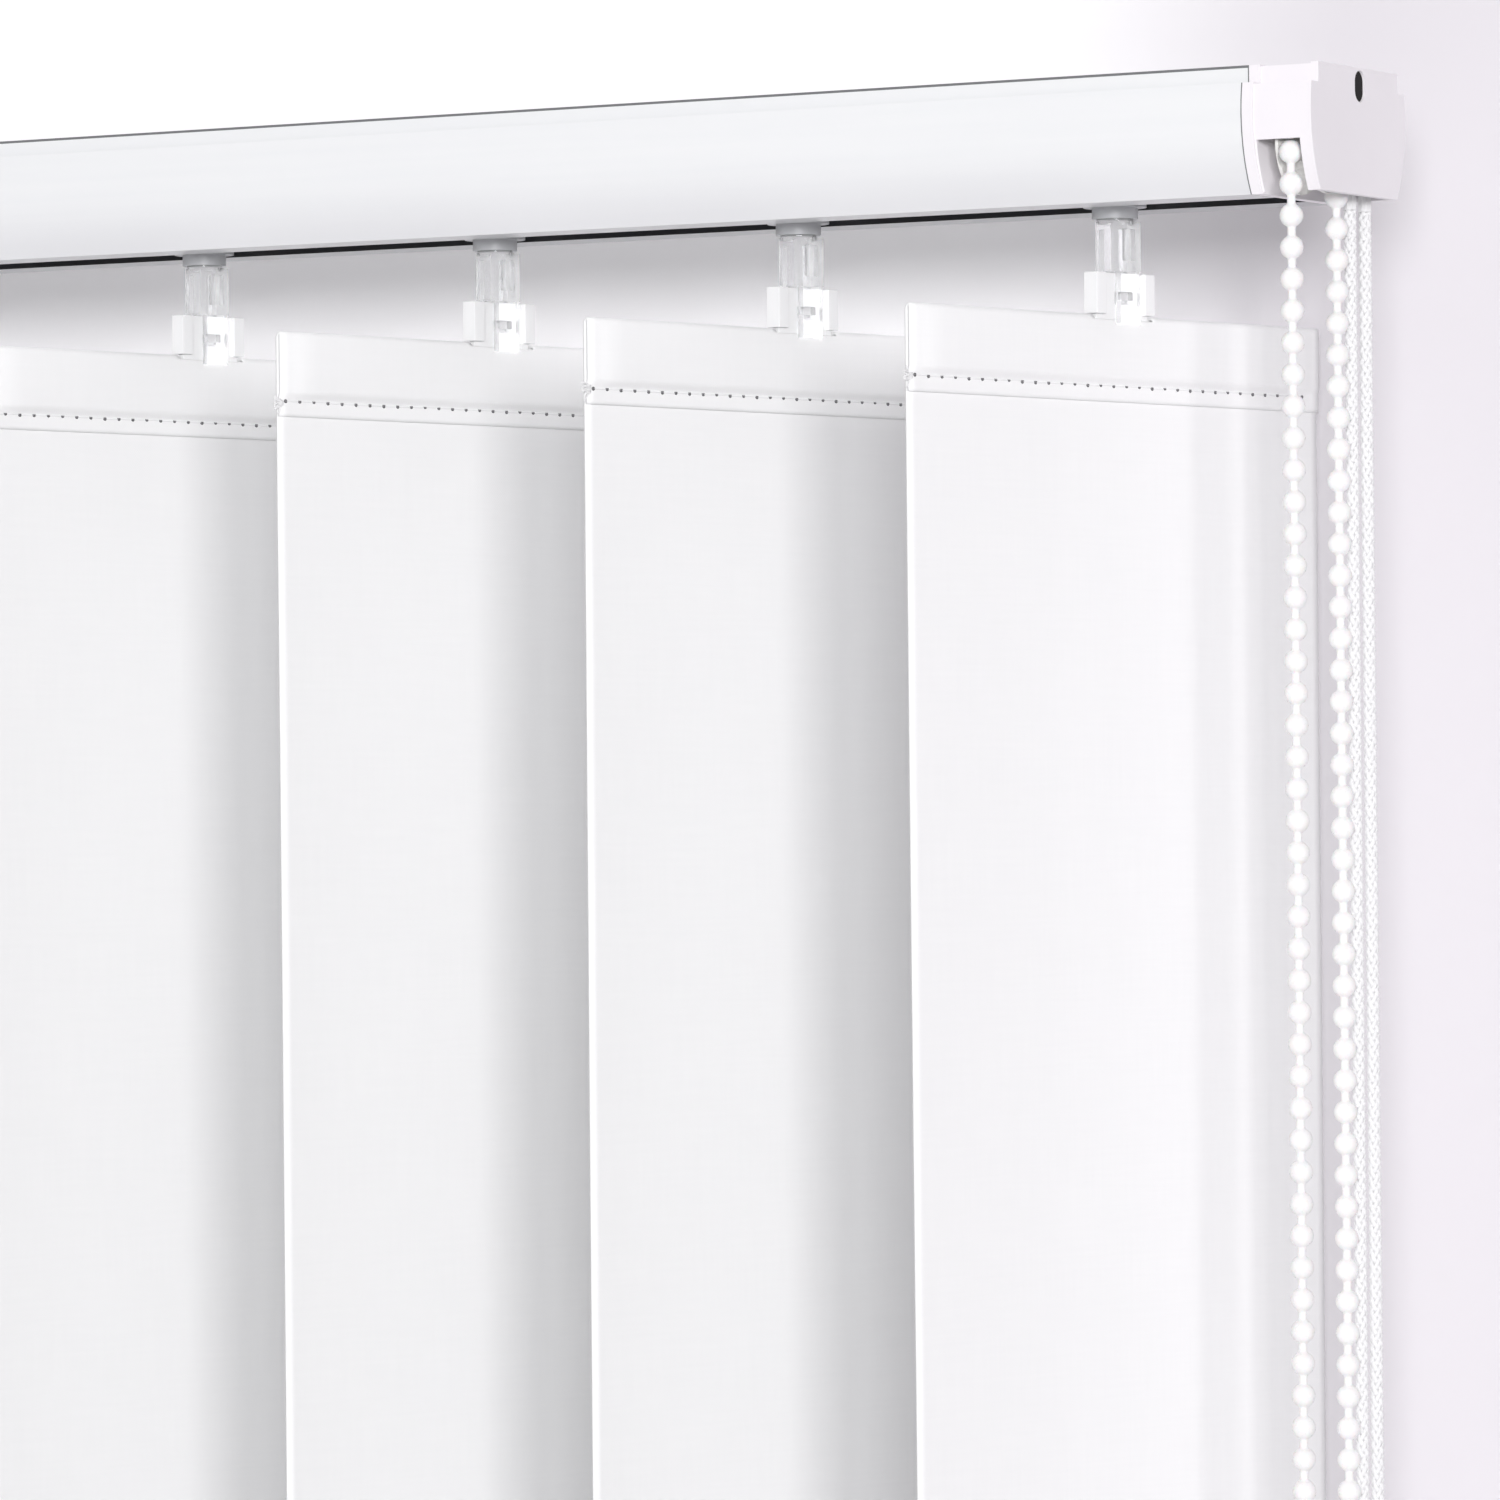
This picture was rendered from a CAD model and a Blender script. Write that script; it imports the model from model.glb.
import math
import random

import bmesh
import bpy
from mathutils import Matrix, Vector


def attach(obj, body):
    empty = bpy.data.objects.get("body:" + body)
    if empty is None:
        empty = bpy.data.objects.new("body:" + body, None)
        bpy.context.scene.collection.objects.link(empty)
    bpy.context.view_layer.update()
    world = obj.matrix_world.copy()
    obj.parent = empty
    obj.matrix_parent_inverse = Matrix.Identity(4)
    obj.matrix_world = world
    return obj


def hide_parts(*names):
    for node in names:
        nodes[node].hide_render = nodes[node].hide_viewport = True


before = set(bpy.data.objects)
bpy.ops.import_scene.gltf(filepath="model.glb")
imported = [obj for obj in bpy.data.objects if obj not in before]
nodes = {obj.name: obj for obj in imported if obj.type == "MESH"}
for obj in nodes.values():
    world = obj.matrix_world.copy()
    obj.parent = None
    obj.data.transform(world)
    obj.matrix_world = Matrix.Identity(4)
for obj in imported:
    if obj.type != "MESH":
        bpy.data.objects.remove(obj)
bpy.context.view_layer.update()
mm = 0.001
print("frame loaded:", len(nodes), "nodes")

# Sizes shared with the CAD, in millimetres
louvreCount = 6
pitch = 70.5
railEnd = 214.25
railTop = -1.2
railFoot = -25.6
chainX = 223.0
rodY = -8.0
rodZ = -15.7
sprocketR = 30 / math.pi


def carrierX(i):
    return (i - 3.5) * pitch


# Camera, fitted to the rail's lines, the hems and the hooks in the photograph
cameraFit = {"place": (0.92945, -1.4304, -0.1462), "azimuth": 30.3, "pitch": 0.60, "roll": -0.544,
             "lens": 201.1, "sensor": 36}


def addCamera(fit):
    data = bpy.data.cameras.new("camera")
    data.lens = fit["lens"]
    data.sensor_width = fit["sensor"]
    turn = (Matrix.Rotation(math.radians(fit["azimuth"]), 4, "Z")
            @ Matrix.Rotation(math.radians(90 + fit["pitch"]), 4, "X")
            @ Matrix.Rotation(math.radians(fit["roll"]), 4, "Z"))
    camera = bpy.data.objects.new("camera", data)
    camera.matrix_world = Matrix.Translation(fit["place"]) @ turn
    bpy.context.scene.collection.objects.link(camera)
    bpy.context.scene.camera = camera


addCamera(cameraFit)
print("camera set")


# Shader maths on sockets
class Wire:
    def __init__(self, tree, socket=None):
        self.tree = tree
        self.socket = socket

    def node(self, kind, settings=None, inputs=None, out=0):
        made = self.tree.nodes.new(kind)
        for key, value in (settings or {}).items():
            setattr(made, key, value)
        for key, value in (inputs or {}).items():
            if isinstance(value, Wire):
                self.tree.links.new(value.socket, made.inputs[key])
            else:
                made.inputs[key].default_value = value
        return Wire(self.tree, made.outputs[out])

    def math(self, operation, first, second=0.0):
        return self.node("ShaderNodeMath", {"operation": operation}, {0: first, 1: second})

    def __add__(self, other):
        return self.math("ADD", self, other)

    def __radd__(self, other):
        return self.math("ADD", other, self)

    def __sub__(self, other):
        return self.math("SUBTRACT", self, other)

    def __rsub__(self, other):
        return self.math("SUBTRACT", other, self)

    def __mul__(self, other):
        return self.math("MULTIPLY", self, other)

    def __rmul__(self, other):
        return self.math("MULTIPLY", other, self)

    def __truediv__(self, other):
        return self.math("DIVIDE", self, other)

    def __rtruediv__(self, other):
        return self.math("DIVIDE", other, self)

    def __gt__(self, other):
        return self.math("GREATER_THAN", self, other)

    def __lt__(self, other):
        return self.math("LESS_THAN", self, other)

    def __abs__(self):
        return self.math("ABSOLUTE", self)

    def sin(self):
        return self.math("SINE", self)

    def root(self):
        return self.math("SQRT", self)

    def smooth(self, low, high):
        return self.node("ShaderNodeMapRange", {"interpolation_type": "SMOOTHSTEP"},
                         {"Value": self, "From Min": low, "From Max": high})

    def place(self):
        return self.node("ShaderNodeTexCoord", out=3)

    def uv(self):
        return self.node("ShaderNodeTexCoord", out=2)

    def axes(self):
        return [self.node("ShaderNodeSeparateXYZ", inputs={0: self}, out=k) for k in range(3)]

    def stretched(self, x, y, z):
        return self.node("ShaderNodeMapping", inputs={"Vector": self, "Scale": (x, y, z)})

    def noise(self, scale, detail=3.0, rough=0.5):
        return self.node("ShaderNodeTexNoise", inputs={"Vector": self, "Scale": scale, "Detail": detail,
                                                       "Roughness": rough})

    def between(self, low, high):
        return self.node("ShaderNodeMix", {"data_type": "RGBA"},
                         {0: self, 6: (*low, 1), 7: (*high, 1)}, out=2)

    def over(self, under, top):
        return self.node("ShaderNodeMix", {"data_type": "RGBA"}, {0: self, 6: under, 7: (*top, 1)}, out=2)

    def bump(self, strength, reach):
        return self.node("ShaderNodeBump", inputs={"Strength": strength, "Distance": reach, "Height": self})

    def feed(self, shader, name):
        self.tree.links.new(self.socket, shader.inputs[name])


def newMaterial(name, settings, detail):
    made = bpy.data.materials.new(name)
    made.use_nodes = True
    shader = made.node_tree.nodes["Principled BSDF"]
    for key, value in settings.items():
        shader.inputs[key].default_value = value
    detail(Wire(made.node_tree), shader)
    return made


# Moulded or drawn finish: two tones by a slow noise, uneven gloss, fine grain
bumpReach = 0.0001


def grainy(low, high, gloss, grain, depth, slow=60.0):
    def detail(w, shader):
        tone = w.place().noise(slow, 2.0)
        fine = w.place().noise(grain, 2.0, 0.6)
        tone.between(low, high).feed(shader, "Base Color")
        (gloss[0] + (gloss[1] - gloss[0]) * fine).feed(shader, "Roughness")
        fine.bump(depth, bumpReach).feed(shader, "Normal")
    return detail


# Lacquered rail: dark inside and in the slot, a grey line at the lip's edge and at the joint with the cap; its
# places are in metres
railLook = {"white": (0.765, 0.775, 0.785), "warm": (0.80, 0.805, 0.81), "inside": (0.03, 0.031, 0.034),
            "foot": (0.62, 0.615, 0.64), "shade": (0.40, 0.40, 0.42), "line": (0.16, 0.165, 0.17),
            "slot": 0.00655, "slotHigh": 0.003, "groove": 0.00755, "grooveFoot": -0.0055,
            "arcY": 0.011045, "arcZ": -0.0102, "arcR": 0.030945, "wall": 0.0007, "lipFoot": -0.00495,
            "topHalf": 0.0166, "footSkin": 0.0003, "lipSkin": 0.0005, "lipY": -0.016, "joint": 0.00025,
            "fade": (0.013, 0.0256), "fadeShare": 0.45, "streak": (2, 60, 60), "streakScale": 8.0,
            "peel": 900.0, "gloss": (0.26, 0.1), "depth": 0.04}


def railDetail(w, shader):
    look = railLook
    top, foot = railTop * mm, railFoot * mm
    x, y, z = w.place().axes()
    side = abs(y)
    reach = side + look["arcY"]
    drop = z - look["arcZ"]
    arc = (reach * reach + drop * drop).root()
    inCurve = (arc < look["arcR"]) * (z > foot + look["wall"])
    belowLip = z < look["lipFoot"]
    underTop = (side < look["topHalf"]) * (z < top - look["wall"])
    inGroove = (side < look["groove"]) * (z > look["grooveFoot"])
    inSlot = (side < look["slot"]) * (z < foot + look["slotHigh"])
    hidden = (inCurve * (belowLip + underTop) * (1.0 - inGroove) + inSlot).smooth(0.0, 1.0)
    backFoot = (z < foot + look["footSkin"]) * (y > look["slot"])
    edge = (z > top - look["lipSkin"]) * (y < look["lipY"])
    joint = abs(x) > railEnd * mm - look["joint"]
    tone = w.place().stretched(*look["streak"]).noise(look["streakScale"], 2.0)
    paint = tone.between(look["white"], look["warm"])
    paint = (look["fadeShare"] * (z * -1.0).smooth(*look["fade"])).over(paint, look["foot"])
    paint = backFoot.over(paint, look["shade"])
    paint = hidden.over(paint, look["inside"])
    paint = (edge + joint).smooth(0.0, 1.0).over(paint, look["line"])
    paint.feed(shader, "Base Color")
    peel = w.place().noise(look["peel"], 2.0)
    (look["gloss"][0] + look["gloss"][1] * peel).feed(shader, "Roughness")
    peel.bump(look["depth"], bumpReach).feed(shader, "Normal")


# Woven cloth: warp and weft, slubs along both, a faint mottle
clothLook = {"low": (0.845, 0.847, 0.85), "high": (0.885, 0.885, 0.885), "thread": 0.00062, "slub": 0.035,
             "slubScale": 1500.0, "mottle": 35.0, "weave": 0.2, "slubs": 0.35, "cloud": 0.2,
             "span": (0.1, 0.95), "gloss": (0.78, 0.16), "weaveRise": 0.5, "slubRise": 0.3, "depth": 0.12,
             "reach": 0.00012}


def clothDetail(w, shader):
    look = clothLook
    u, v, _ = w.uv().axes()
    turn = 2 * math.pi / look["thread"]
    weave = (u * turn).sin() * (v * turn).sin() * 0.5 + 0.5
    warp = w.uv().stretched(1, look["slub"], 1).noise(look["slubScale"], 2.0)
    weft = w.uv().stretched(look["slub"], 1, 1).noise(look["slubScale"], 2.0)
    mottle = w.uv().noise(look["mottle"], 3.0)
    tone = look["weave"] * weave + look["slubs"] * warp + look["slubs"] * weft + look["cloud"] * mottle
    tone.smooth(*look["span"]).between(look["low"], look["high"]).feed(shader, "Base Color")
    (look["gloss"][0] + look["gloss"][1] * weave).feed(shader, "Roughness")
    relief = look["weaveRise"] * weave + look["slubRise"] * warp + look["slubRise"] * weft
    relief.bump(look["depth"], look["reach"]).feed(shader, "Normal")


# Clear moulding: faint haze that follows the flow of the plastic
clearLook = {"flow": (1, 1, 0.3), "scale": 420.0, "gloss": (0.02, 0.06), "haze": (0.45, 0.75), "depth": 0.06,
             "reach": 0.0002}


def clearDetail(w, shader):
    look = clearLook
    flow = w.place().stretched(*look["flow"]).noise(look["scale"], 3.0)
    (look["gloss"][0] + look["gloss"][1] * flow.smooth(*look["haze"])).feed(shader, "Roughness")
    flow.bump(look["depth"], look["reach"]).feed(shader, "Normal")


# Drawn or brushed metal: streaks along one axis
brushLook = {"scale": 700.0, "depth": 0.08}


def brushed(low, high, along, gloss):
    def detail(w, shader):
        streak = w.place().stretched(*along).noise(brushLook["scale"], 3.0)
        streak.between(low, high).feed(shader, "Base Color")
        (gloss[0] + (gloss[1] - gloss[0]) * streak).feed(shader, "Roughness")
        streak.bump(brushLook["depth"], bumpReach).feed(shader, "Normal")
    return detail


# Twisted yarn of the cord and the thread
yarnLook = {"low": (0.74, 0.74, 0.745), "high": (0.87, 0.87, 0.875), "along": (1, 1, 0.25), "scale": 5200.0,
            "gloss": (0.72, 0.2), "depth": 0.25}


def yarnDetail(w, shader):
    look = yarnLook
    fibre = w.place().stretched(*look["along"]).noise(look["scale"], 2.0)
    fibre.between(look["low"], look["high"]).feed(shader, "Base Color")
    (look["gloss"][0] + look["gloss"][1] * fibre).feed(shader, "Roughness")
    fibre.bump(look["depth"], bumpReach).feed(shader, "Normal")


materials = {
    "rail": newMaterial("rail_lacquer", {"Specular IOR Level": 0.5, "Coat Weight": 0.25, "Coat Roughness": 0.2},
                        railDetail),
    "cap": newMaterial("cap_plastic", {"Specular IOR Level": 0.4},
                       grainy((0.80, 0.77, 0.80), (0.845, 0.82, 0.845), (0.42, 0.6), 2600.0, 0.1)),
    "carrier": newMaterial("carrier_plastic", {"Transmission Weight": 0.35, "IOR": 1.5},
                           grainy((0.70, 0.71, 0.73), (0.78, 0.79, 0.81), (0.3, 0.5), 1800.0, 0.08)),
    "drive": newMaterial("drive_plastic", {"Specular IOR Level": 0.45},
                         grainy((0.76, 0.755, 0.73), (0.83, 0.825, 0.80), (0.35, 0.55), 2200.0, 0.08)),
    "chain": newMaterial("chain_plastic", {"Specular IOR Level": 0.5, "Subsurface Weight": 0.15,
                                           "Subsurface Scale": 0.002},
                         grainy((0.83, 0.828, 0.825), (0.88, 0.878, 0.872), (0.22, 0.36), 1500.0, 0.05)),
    "cord": newMaterial("cord_yarn", {"Specular IOR Level": 0.25, "Sheen Weight": 0.3}, yarnDetail),
    "clear": newMaterial("clear_plastic", {"Base Color": (0.88, 0.885, 0.89, 1), "Transmission Weight": 0.85,
                                           "IOR": 1.3}, clearDetail),
    "milky": newMaterial("milky_plastic", {"Base Color": (0.97, 0.972, 0.975, 1), "Transmission Weight": 0.15,
                                           "IOR": 1.45}, clearDetail),
    "cloth": newMaterial("louvre_cloth", {"Specular IOR Level": 0.2, "Sheen Weight": 0.12,
                                          "Sheen Roughness": 0.6}, clothDetail),
    "rod": newMaterial("rod_aluminium", {"Metallic": 1.0},
                       brushed((0.70, 0.71, 0.72), (0.86, 0.87, 0.88), (0.05, 1, 1), (0.22, 0.45))),
    "pin": newMaterial("pin_steel", {"Metallic": 1.0},
                       brushed((0.52, 0.52, 0.53), (0.72, 0.72, 0.73), (1, 1, 1), (0.25, 0.5))),
    "clip": newMaterial("clip_steel", {"Metallic": 1.0},
                        brushed((0.50, 0.51, 0.53), (0.74, 0.75, 0.77), (0.08, 1, 1), (0.28, 0.5))),
    "weight": newMaterial("weight_steel", {"Metallic": 0.9},
                          brushed((0.40, 0.41, 0.42), (0.60, 0.61, 0.62), (0.1, 1, 1), (0.35, 0.6))),
    "hole": newMaterial("needle_hole", {"Specular IOR Level": 0.1},
                        grainy((0.16, 0.16, 0.165), (0.26, 0.26, 0.265), (0.8, 0.95), 4000.0, 0.1)),
    "shade": newMaterial("cap_inside", {"Specular IOR Level": 0.1},
                         grainy((0.02, 0.019, 0.019), (0.035, 0.033, 0.033), (0.8, 0.95), 2600.0, 0.1)),
}
print("materials made:", len(materials))


# Mesh helpers
def newObject(name, points, faces, material, uvs=None, smooth=True):
    mesh = bpy.data.meshes.new(name)
    mesh.from_pydata([tuple(c * mm for c in p) for p in points], [], faces)
    if uvs:
        layer = mesh.uv_layers.new(name="UVMap")
        for loop in mesh.loops:
            layer.data[loop.index].uv = uvs[loop.vertex_index]
    mesh.materials.append(material)
    for polygon in mesh.polygons:
        polygon.use_smooth = smooth
    piece = bpy.data.objects.new(name, mesh)
    bpy.context.scene.collection.objects.link(piece)
    return piece


def settle(piece):
    shown = piece.evaluated_get(bpy.context.evaluated_depsgraph_get())
    mesh = bpy.data.meshes.new_from_object(shown)
    piece.modifiers.clear()
    piece.data = mesh


def carry(piece, body, slot, *replaced):
    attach(piece, body)
    if replaced:
        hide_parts(*replaced)


# Sweeps a section of (across, off) points along a line; sides and ups are its unit vectors at each point
def sweep(line, sections, sides, ups):
    points, faces = [], []
    count = len(sections[0])
    for p, section, s, u in zip(line, sections, sides, ups):
        points += [tuple(p[k] + a * s[k] + b * u[k] for k in range(3)) for a, b in section]
    for j in range(len(line) - 1):
        for k in range(count):
            a, b = j * count + k, j * count + (k + 1) % count
            faces.append((a, b, b + count, a + count))
    last = (len(line) - 1) * count
    faces.append(tuple(range(count - 1, -1, -1)))
    faces.append(tuple(last + k for k in range(count)))
    return points, faces


def joined(parts):
    points, faces = [], []
    for morePoints, moreFaces in parts:
        start = len(points)
        points += morePoints
        faces += [tuple(start + k for k in face) for face in moreFaces]
    return points, faces


def roundSection(radius, count):
    return [(radius * math.cos(2 * math.pi * k / count), radius * math.sin(2 * math.pi * k / count))
            for k in range(count)]


# Bead chain: moulded beads that flow into thin necks
chainLook = {"pitch": 6.0, "bead": 2.27, "neck": 0.8, "lead": 2.3, "links": 90, "around": 16,
             "slices": (-66, -54, -42, -28, -14, 0, 14, 28, 42, 54, 66), "neckAt": (2.4, 3.0, 3.6),
             "thick": 4.5, "pathStep": 9.0}


# Distances along the chain with the radius there: a ball at every pitch, a neck between
def chainProfile(start, end):
    look = chainLook
    rows = []
    first = math.floor((start - look["lead"]) / look["pitch"]) - 1
    for k in range(first, math.ceil((end - look["lead"]) / look["pitch"]) + 2):
        middle = look["lead"] + k * look["pitch"]
        for angle in look["slices"]:
            a = math.radians(angle)
            rows.append((middle + look["bead"] * math.sin(a), look["bead"] * math.cos(a)))
        for off in look["neckAt"]:
            rows.append((middle + off, look["neck"]))
    return [(s, r) for s, r in rows if start <= s <= end]


def chainLine(start, end, step):
    count = max(2, round((end - start) / step))
    return [start + (end - start) * k / count for k in range(count + 1)]


# Point on the loop and the direction across it, at a distance from the front strand's top
def chainPoint(s):
    strand = chainLook["links"] * chainLook["pitch"]
    half = math.pi * sprocketR
    if s <= strand:
        return (chainX, rodY - sprocketR, rodZ - s), (0, 1, 0)
    if s <= strand + half:
        a = (s - strand) / sprocketR
        centre = rodZ - strand
        return ((chainX, rodY - sprocketR * math.cos(a), centre - sprocketR * math.sin(a)),
                (0, math.cos(a), math.sin(a)))
    if s <= 2 * strand + half:
        return (chainX, rodY + sprocketR, rodZ - strand + (s - strand - half)), (0, -1, 0)
    a = (s - 2 * strand - half) / sprocketR
    return ((chainX, rodY + sprocketR * math.cos(a), rodZ + sprocketR * math.sin(a)),
            (0, -math.cos(a), -math.sin(a)))


def chainPiece(name, start, end):
    line, sections, ups = [], [], []
    for s, r in chainProfile(start, end):
        point, up = chainPoint(s)
        line.append(point)
        ups.append(up)
        sections.append(roundSection(r, chainLook["around"]))
    points, faces = sweep(line, sections, [(1, 0, 0)] * len(line), ups)
    return newObject(name, points, faces, materials["chain"])


strandL = chainLook["links"] * chainLook["pitch"]
loopL = 2 * (strandL + math.pi * sprocketR)
freeL = 2 * strandL + math.pi * sprocketR
chainFree = chainPiece("bead_chain_free", 0.0, freeL)
chainTop = chainPiece("bead_chain_top", freeL, loopL)
carry(chainFree, "head", "chain_white", "bead_chain")
carry(chainTop, "head", "chain_white", "bead_chain")
chainPath = [tuple(c * mm for c in chainPoint(s)[0]) for s in chainLine(0.0, freeL, chainLook["pathStep"])]
print("bead chain made")

# Draw cord: round braid of eight yarns, half of them each way
cordLook = {"y": (7.4, 13.8), "top": -27.5, "foot": -605.6, "core": 0.84, "wave": 0.2, "wide": 0.5,
            "thick": 0.3, "fill": 0.72, "fillSides": 12, "turn": 9.2, "ways": 4, "steps": 16, "around": 6,
            "whole": 2.6, "pathSteps": 24}
cordL = cordLook["top"] - cordLook["foot"]


def braid(y):
    look = cordLook
    count = round(cordL / look["turn"] * look["steps"])
    yarns = []
    for way in (-1, 1):
        for k in range(look["ways"]):
            line, sides, ups = [], [], []
            for j in range(count + 1):
                along = cordL * j / count
                spin = 2 * math.pi * along / look["turn"]
                a = way * spin + 2 * math.pi * k / look["ways"]
                r = look["core"] + way * look["wave"] * math.cos(look["ways"] * spin)
                line.append((chainX + r * math.cos(a), y + r * math.sin(a), look["top"] - along))
                outward = Vector((math.cos(a), math.sin(a), 0))
                forward = Vector((-math.sin(a) * way * look["core"], math.cos(a) * way * look["core"],
                                  -look["turn"] / (2 * math.pi))).normalized()
                sides.append(tuple(outward.cross(forward)))
                ups.append(tuple(outward))
            flat = [(look["wide"] * a, look["thick"] * b) for a, b in roundSection(1.0, look["around"])]
            yarns.append(sweep(line, [flat] * len(line), sides, ups))
    fill = [(chainX, y, look["top"]), (chainX, y, look["foot"])]
    yarns.append(sweep(fill, [roundSection(look["fill"], look["fillSides"])] * 2, [(1, 0, 0)] * 2,
                       [(0, 1, 0)] * 2))
    return joined(yarns)


for name, y in zip(("draw_cord_front", "draw_cord_back"), cordLook["y"]):
    points, faces = braid(y)
    cord = newObject(name, points, faces, materials["cord"])
    carry(cord, "head", "cord_white", "draw_cord")
print("draw cord made")

# Louvres: one folded cloth each, with a sewn pocket at the head and at the foot
louvreLook = {"wide": 127.0, "long": 900.0, "angle": 79.5, "cloth": 0.5, "pocket": 1.35, "foldTop": -46.3,
              "topPocket": 13.5, "footPocket": 36.0, "hem": 3.1, "slope": 2.0, "slot": 18.6, "slotDrop": 0.8,
              "pinch": 8.0, "pinchShare": 0.75, "columns": 60, "rowStep": 12.0, "sewnGap": 0.02, "hemRows": 4,
              "slopeRows": 6, "flapStep": 5, "foldRows": 10, "foldLap": 0.2}


# Section of a pocket as depth and height, from the cut edge up the flap and round the fold
def pocketLine(depth):
    look = louvreLook
    flapY = -look["cloth"] - look["pocket"]
    sewnY = -look["cloth"] - look["sewnGap"]
    rows = look["hemRows"]
    line = [(sewnY, -depth - look["hem"] + look["hem"] * k / rows) for k in range(rows)]
    rows = look["slopeRows"]
    for k in range(rows + 1):
        t = k / rows
        ease = (1 - math.cos(math.pi * t)) / 2
        line.append((sewnY + (flapY - sewnY) * ease, -depth + look["slope"] * t))
    r = (look["cloth"] + look["pocket"]) / 2
    start = -r - look["cloth"] / 2
    rise = depth - look["slope"] + start
    rows = max(2, round(rise / look["flapStep"]))
    line += [(flapY, -depth + look["slope"] + rise * k / rows) for k in range(1, rows + 1)]
    for k in range(1, look["foldRows"]):
        a = math.pi * k / look["foldRows"]
        line.append((-r - r * math.cos(a), start + r * math.sin(a)))
    return line


def louvreLine():
    look = louvreLook
    top = [(y, look["foldTop"] + z) for y, z in pocketLine(look["topPocket"])]
    foldFoot = look["foldTop"] - look["long"]
    foot = [(y, foldFoot - z) for y, z in reversed(pocketLine(look["footPocket"]))]
    high, low, lap = top[-1][1], foot[0][1], look["foldLap"]
    rows = round((high - low) / look["rowStep"])
    return top + [(0.0, high - lap + (low - high + 2 * lap) * k / rows) for k in range(rows + 1)] + foot


# Slight sway of a hanging cloth, none where the hanger and the weight hold it flat
swayLook = {"topHold": 40, "footHold": 60, "hold": 0.7, "belly": 0.9, "bellyPhase": 1.3, "twist": 0.5,
            "twistPhase": 2.1, "twistTurn": 3}


def bow(x, z, seed):
    look = swayLook
    top = louvreLook["foldTop"] - look["topHold"]
    foot = louvreLook["foldTop"] - louvreLook["long"] + look["footHold"]
    if z > top or z < foot:
        return 0.0
    t = (top - z) / (top - foot)
    across = x / (louvreLook["wide"] / 2)
    belly = look["belly"] * (1 - across ** 2) * math.sin(seed + look["bellyPhase"])
    twist = look["twist"] * across * math.sin(look["twistPhase"] * seed + look["twistTurn"] * t)
    return math.sin(math.pi * t) ** look["hold"] * (belly + twist)


def turned(i, x, y, z):
    a = math.radians(louvreLook["angle"])
    return (carrierX(i) + x * math.cos(a) - y * math.sin(a), x * math.sin(a) + y * math.cos(a), z)


# The open ends of the top pocket lie nearly flat
def pinched(x, y, z):
    look = louvreLook
    into = abs(x) - look["wide"] / 2 + look["pinch"]
    flat = -look["cloth"]
    if into <= 0 or y >= flat or z < look["foldTop"] - look["topPocket"]:
        return y
    ease = (1 - math.cos(math.pi * into / look["pinch"])) / 2
    return y + (flat - y) * look["pinchShare"] * ease


def louvrePiece(i):
    look = louvreLook
    half = look["wide"] / 2
    xs = sorted({round(-half + look["wide"] * k / look["columns"], 3) for k in range(look["columns"] + 1)}
                | {-look["slot"] / 2, look["slot"] / 2})
    line = louvreLine()
    run = [0.0]
    for a, b in zip(line, line[1:]):
        run.append(run[-1] + math.hypot(b[0] - a[0], b[1] - a[1]))
    points, uvs, faces = [], [], []
    for (y, z), s in zip(line, run):
        for x in xs:
            points.append(turned(i, x, pinched(x, y, z) + bow(x, z, i), z))
            uvs.append(((x + half) * mm, s * mm))
    width = len(xs)
    for j in range(len(line) - 1):
        middle = (line[j][1] + line[j + 1][1]) / 2
        for k in range(width - 1):
            inSlot = abs(xs[k] + xs[k + 1]) / 2 < look["slot"] / 2
            if inSlot and middle > look["foldTop"] - look["slotDrop"]:
                continue
            a = j * width + k
            faces.append((a, a + 1, a + width + 1, a + width))
    piece = newObject(f"louvre_cloth_{i}", points, faces, materials["cloth"], uvs)
    thick = piece.modifiers.new("thick", "SOLIDIFY")
    thick.thickness = look["cloth"] * mm
    thick.offset = 0.0
    thick.use_even_offset = True
    settle(piece)
    for polygon in piece.data.polygons:
        polygon.use_smooth = True
    return piece, run[-1]


# Seam: stitches that dip into their needle holes, and a tuft of loose ends at the near edge
seamLook = {"step": 4.0, "margin": 1.6, "thread": 0.14, "sides": 6, "rise": 0.14, "sink": 0.16, "rows": 6,
            "arch": 0.5, "offFace": 0.03, "offFold": 0.1, "stray": 0.12, "hole": 0.5, "holeSides": 10,
            "holeFlat": 0.8, "holeFront": 0.02, "holeDip": 0.012, "holeDeep": 0.1, "seed": 40}
tuftLook = {"ends": 10, "loose": 0.55, "steps": 5, "thin": 0.9, "inset": 0.8, "front": 0.1, "spread": 0.8,
            "heading": (2.4, 4.0), "bend": 0.5}


def thread(line, scale=1.0):
    sides, ups = [], []
    for k in range(len(line)):
        a, b = Vector(line[max(k - 1, 0)]), Vector(line[min(k + 1, len(line) - 1)])
        ahead = (b - a).normalized()
        side = ahead.cross(Vector((0, 0, 1)))
        side = side.normalized() if side.length > 0.01 else Vector((1, 0, 0))
        sides.append(tuple(side))
        ups.append(tuple(side.cross(ahead)))
    section = roundSection(seamLook["thread"] * scale, seamLook["sides"])
    return sweep(line, [section] * len(line), sides, ups)


def needleHole(i, x, face, z):
    look = seamLook
    sides = look["holeSides"]
    ring = [turned(i, x + a, face - look["holeFront"], z + look["holeFlat"] * b)
            for a, b in roundSection(look["hole"], sides)]
    front, back = (turned(i, x, face - off, z) for off in (look["holeDip"], -look["holeDeep"]))
    fans = [(n, (n + 1) % sides, sides) for n in range(sides)]
    fans += [((n + 1) % sides, n, sides + 1) for n in range(sides)]
    return ring + [front, back], fans


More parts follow.
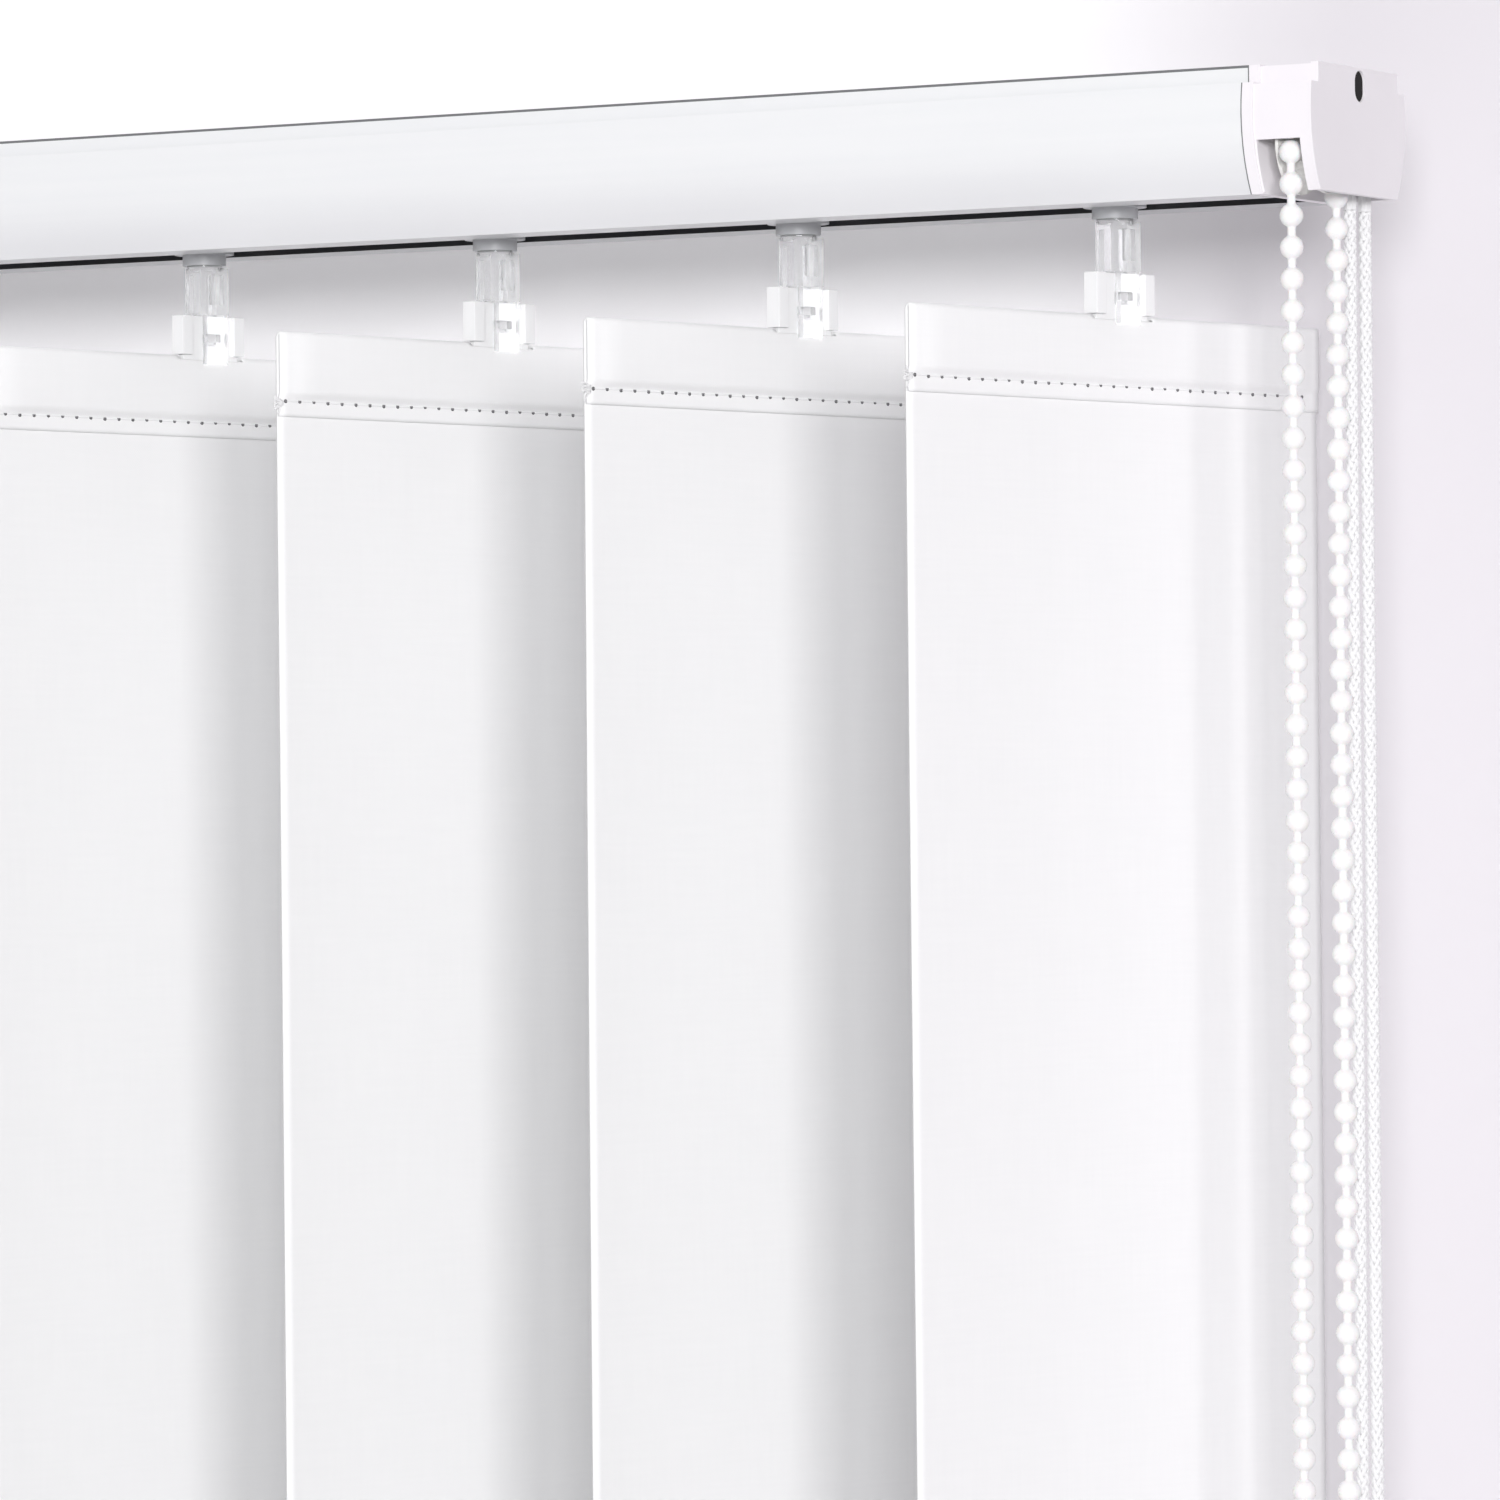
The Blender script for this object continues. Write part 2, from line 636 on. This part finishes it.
def stitch(i, x, face, z):
    look = seamLook
    line = []
    for n in range(look["rows"] + 1):
        t = n / look["rows"]
        lift = look["rise"] * math.sin(math.pi * t) ** look["arch"] - look["sink"]
        line.append(turned(i, x + look["step"] * t, face - lift, z))
    return thread(line)


def looseEnd(i, face, z, draw):
    look = tuftLook
    a = math.radians(louvreLook["angle"])
    line = [turned(i, -louvreLook["wide"] / 2 + look["inset"], face - look["front"],
                   z + draw.uniform(-look["spread"], look["spread"]))]
    heading = draw.uniform(*look["heading"])
    for _ in range(look["steps"]):
        x, y, at = line[-1]
        heading += draw.uniform(-look["bend"], look["bend"])
        across, up = look["loose"] * math.cos(heading), look["loose"] * math.sin(heading)
        line.append((x + across * math.cos(a), y + across * math.sin(a), at + up))
    return thread(line, look["thin"])


def seamPiece(i, draw):
    look = seamLook
    half = louvreLook["wide"] / 2 - look["margin"]
    face = -1.5 * louvreLook["cloth"] - look["offFace"]
    top = louvreLook["foldTop"] - louvreLook["topPocket"] - look["offFold"]
    foot = louvreLook["foldTop"] - louvreLook["long"] + louvreLook["footPocket"] + look["offFold"]
    count = int(2 * half / look["step"])
    parts, holes = [], []
    for z in (top, foot):
        for k in range(count + 1):
            x = -half + look["step"] * k
            at = z + draw.uniform(-look["stray"], look["stray"])
            holes.append(needleHole(i, x, face, at))
            if k < count:
                parts.append(stitch(i, x, face, at))
    parts += [looseEnd(i, face, top, draw) for _ in range(tuftLook["ends"])]
    points, faces = joined(parts)
    allPoints, allFaces = joined([(points, faces)] + holes)
    piece = newObject(f"seam_{i}", allPoints, allFaces, materials["cord"])
    piece.data.materials.append(materials["hole"])
    for polygon in piece.data.polygons[len(faces):]:
        polygon.material_index = 1
    return piece


for i in range(1, louvreCount + 1):
    cloth, flat = louvrePiece(i)
    carry(cloth, f"vane_{i}", "cloth_white", f"louvre_{i}")
    seam = seamPiece(i, random.Random(seamLook["seed"] + i))
    carry(seam, f"vane_{i}", "cloth_white")
print("louvres made:", louvreCount, "flat length", round(flat, 1), "mm")


# Moulded copies of CAD nodes with their edges rounded, up to a height
mouldLook = {"weld": 0.001, "flat": 1, "sharp": 35, "crease": 40, "segments": 2, "evenWeight": 100,
             "hook": 0.22, "hanger": 0.18, "cap": 0.15}


def rounded(node, material, width, blocks=(), below=0.0):
    source = nodes[node]
    mesh = source.data.copy()
    mesh.name = f"{node}_moulded"
    if "custom_normal" in mesh.attributes:
        mesh.attributes.remove(mesh.attributes["custom_normal"])
    work = bmesh.new()
    work.from_mesh(mesh)
    bmesh.ops.remove_doubles(work, verts=work.verts, dist=mouldLook["weld"] * mm)
    flat = math.radians(mouldLook["flat"])
    bmesh.ops.dissolve_limit(work, angle_limit=flat, verts=work.verts, edges=work.edges)
    for low, high in blocks:
        box = bmesh.ops.create_cube(work, size=1.0)["verts"]
        for v in box:
            v.co = Vector([(high[k] if v.co[k] > 0 else low[k]) * mm for k in range(3)])
    weights = work.edges.layers.float.new("bevel_weight_edge")
    sharp = math.radians(mouldLook["sharp"])
    for edge in work.edges:
        high = max((source.matrix_world @ v.co).z for v in edge.verts)
        edge[weights] = float(high < below * mm and edge.calc_face_angle(0.0) > sharp)
    work.to_mesh(mesh)
    work.free()
    mesh.materials.clear()
    mesh.materials.append(material)
    piece = bpy.data.objects.new(f"{node}_moulded", mesh)
    piece.matrix_world = source.matrix_world.copy()
    bpy.context.scene.collection.objects.link(piece)
    edge = piece.modifiers.new("edge", "BEVEL")
    edge.width = width * mm
    edge.segments = mouldLook["segments"]
    edge.limit_method = "WEIGHT"
    settle(piece)
    for polygon in piece.data.polygons:
        polygon.use_smooth = True
    piece.data.set_sharp_from_angle(angle=math.radians(mouldLook["crease"]))
    even = piece.modifiers.new("even", "WEIGHTED_NORMAL")
    even.weight = mouldLook["evenWeight"]
    even.keep_sharp = True
    settle(piece)
    return piece


for i in range(1, louvreCount + 1):
    hook = rounded(f"hook_{i}", materials["clear"], mouldLook["hook"], below=railFoot)
    hook.visible_shadow = False
    carry(hook, f"vane_{i}", "clear_plastic", f"hook_{i}")
    hanger = rounded(f"hanger_{i}", materials["milky"], mouldLook["hanger"])
    carry(hanger, f"vane_{i}", "clear_plastic", f"hanger_{i}")

# A rim along the top of each cap's end plate, above the small hole
rim = {"from": 227.05, "to": 228.6, "half": 16.9, "low": -1.75, "top": -1.15}
for node, side in (("control_cap", 1), ("return_cap", -1)):
    ends = sorted((side * rim["from"], side * rim["to"]))
    blocks = [((ends[0], -rim["half"], rim["low"]), (ends[1], rim["half"], rim["top"]))]
    carry(rounded(node, materials["cap"], mouldLook["cap"], blocks), "head", "cap_white", node)

# The small hole in the control cap's end plate is dark inside
capHole = {"x": 228.2, "y": 0.7, "z": -4.7, "wide": 4.2, "high": 5.9, "thick": 0.3, "sides": 24}


def ovalPlug(look):
    r = look["wide"] / 2
    lift = look["high"] / 2 - r
    angles = [2 * math.pi * (k + 0.5) / look["sides"] for k in range(look["sides"])]
    oval = [(r * math.cos(a), r * math.sin(a) + math.copysign(lift, math.sin(a))) for a in angles]
    line = [(x, look["y"], look["z"]) for x in (look["x"] - look["thick"], look["x"])]
    return sweep(line, [oval] * 2, [(0, 1, 0)] * 2, [(0, 0, 1)] * 2)


points, faces = ovalPlug(capHole)
carry(newObject("cap_hole_inside", points, faces, materials["shade"], smooth=False), "head", "cap_white")
print("moulded pieces made")

# Finishes of the CAD nodes that stay
finishes = {"headrail": "rail", "tilt_rod": "rod", "chain_sprocket": "drive", "rail_cord": "cord",
            "cord_weight": "chain", "cord_pulley": "drive", "pulley_pin": "pin", "return_pulley": "drive",
            "return_pin": "pin", "bracket": "clip", "carrier": "carrier", "spacer": "drive", "worm": "drive",
            "weight": "weight"}
for name, node in nodes.items():
    for start, key in finishes.items():
        if name.startswith(start):
            for slot in node.material_slots:
                slot.material = materials[key]
print("finishes set")

# Stage: a pale wall seen only from its front, a pale floor, soft studio light
stageLook = {"wallY": 0.068, "floorZ": -1.02, "half": 6, "top": 4, "wall": (0.97, 0.962, 0.972),
             "far": (0.71, 0.685, 0.715), "end": (0.42, 0.405, 0.425), "floor": (0.68, 0.675, 0.68),
             "farFade": (0.1, 0.205), "endFade": (0.23, 0.36), "mottle": 0.06, "mottleScale": 6.0, "rough": 0.9,
             "shine": 0.1}


def stagePlane(name, corners, colour, far, end, oneSided):
    look = stageLook
    mesh = bpy.data.meshes.new(name)
    mesh.from_pydata(corners, [], [(0, 1, 2, 3)])
    made = bpy.data.materials.new(name)
    made.use_nodes = True
    w = Wire(made.node_tree)
    shader = made.node_tree.nodes["Principled BSDF"]
    shader.inputs["Roughness"].default_value = look["rough"]
    shader.inputs["Specular IOR Level"].default_value = look["shine"]
    across, _, _ = w.place().axes()
    tone = across.smooth(*look["farFade"]) + look["mottle"] * w.place().noise(look["mottleScale"], 2.0)
    across.smooth(*look["endFade"]).over(tone.between(colour, far), end).feed(shader, "Base Color")
    if oneSided:
        behind = w.node("ShaderNodeNewGeometry", out=6)
        clear = w.node("ShaderNodeBsdfTransparent")
        solid = Wire(made.node_tree, shader.outputs[0])
        mixed = w.node("ShaderNodeMixShader", inputs={0: behind, 1: solid, 2: clear})
        made.node_tree.links.new(mixed.socket, made.node_tree.nodes["Material Output"].inputs["Surface"])
    mesh.materials.append(made)
    plane = bpy.data.objects.new(name, mesh)
    bpy.context.scene.collection.objects.link(plane)


far, wallY, floorZ, wallTop = (stageLook[key] for key in ("half", "wallY", "floorZ", "top"))
stagePlane("wall", [(-far, wallY, floorZ), (far, wallY, floorZ), (far, wallY, wallTop), (-far, wallY, wallTop)],
           stageLook["wall"], stageLook["far"], stageLook["end"], True)
stagePlane("floor", [(-far, -far, floorZ), (far, -far, floorZ), (far, far, floorZ), (-far, far, floorZ)],
           stageLook["floor"], stageLook["floor"], stageLook["floor"], False)

lights = {"key": {"place": (4.3, -4.6, 0.7), "aim": (0.1, 0, -0.3), "size": (1.0, 1.2), "power": 136,
                  "colour": (1.0, 0.985, 0.99)},
          "front": {"place": (3.0, -5.45, 0.6), "aim": (0.05, 0, -0.3), "size": (1.6, 1.2), "power": 182,
                    "colour": (0.985, 0.99, 1.0)}}


def areaLight(name, look):
    data = bpy.data.lights.new(name, "AREA")
    data.shape = "RECTANGLE"
    data.size, data.size_y = look["size"]
    data.energy = look["power"]
    data.color = look["colour"]
    light = bpy.data.objects.new(name, data)
    light.location = look["place"]
    light.rotation_euler = (Vector(look["aim"]) - Vector(look["place"])).to_track_quat("-Z", "Y").to_euler()
    bpy.context.scene.collection.objects.link(light)


for name, look in lights.items():
    areaLight(name, look)

# The room is brighter on the left and above
skyLook = {"strength": 0.33, "lean": 0.9, "rise": 0.8, "colour": (0.97, 0.965, 0.985, 1)}
world = bpy.data.worlds.new("soft_room")
world.use_nodes = True
sky = world.node_tree.nodes["Background"]
across, _, up = Wire(world.node_tree).node("ShaderNodeTexCoord", out=0).axes()
(skyLook["strength"] * (1.0 - skyLook["lean"] * across) * (1.0 + skyLook["rise"] * up)).feed(sky, "Strength")
sky.inputs["Color"].default_value = skyLook["colour"]
bpy.context.scene.world = world
bpy.context.scene.view_settings.view_transform = "Standard"
print("stage set")
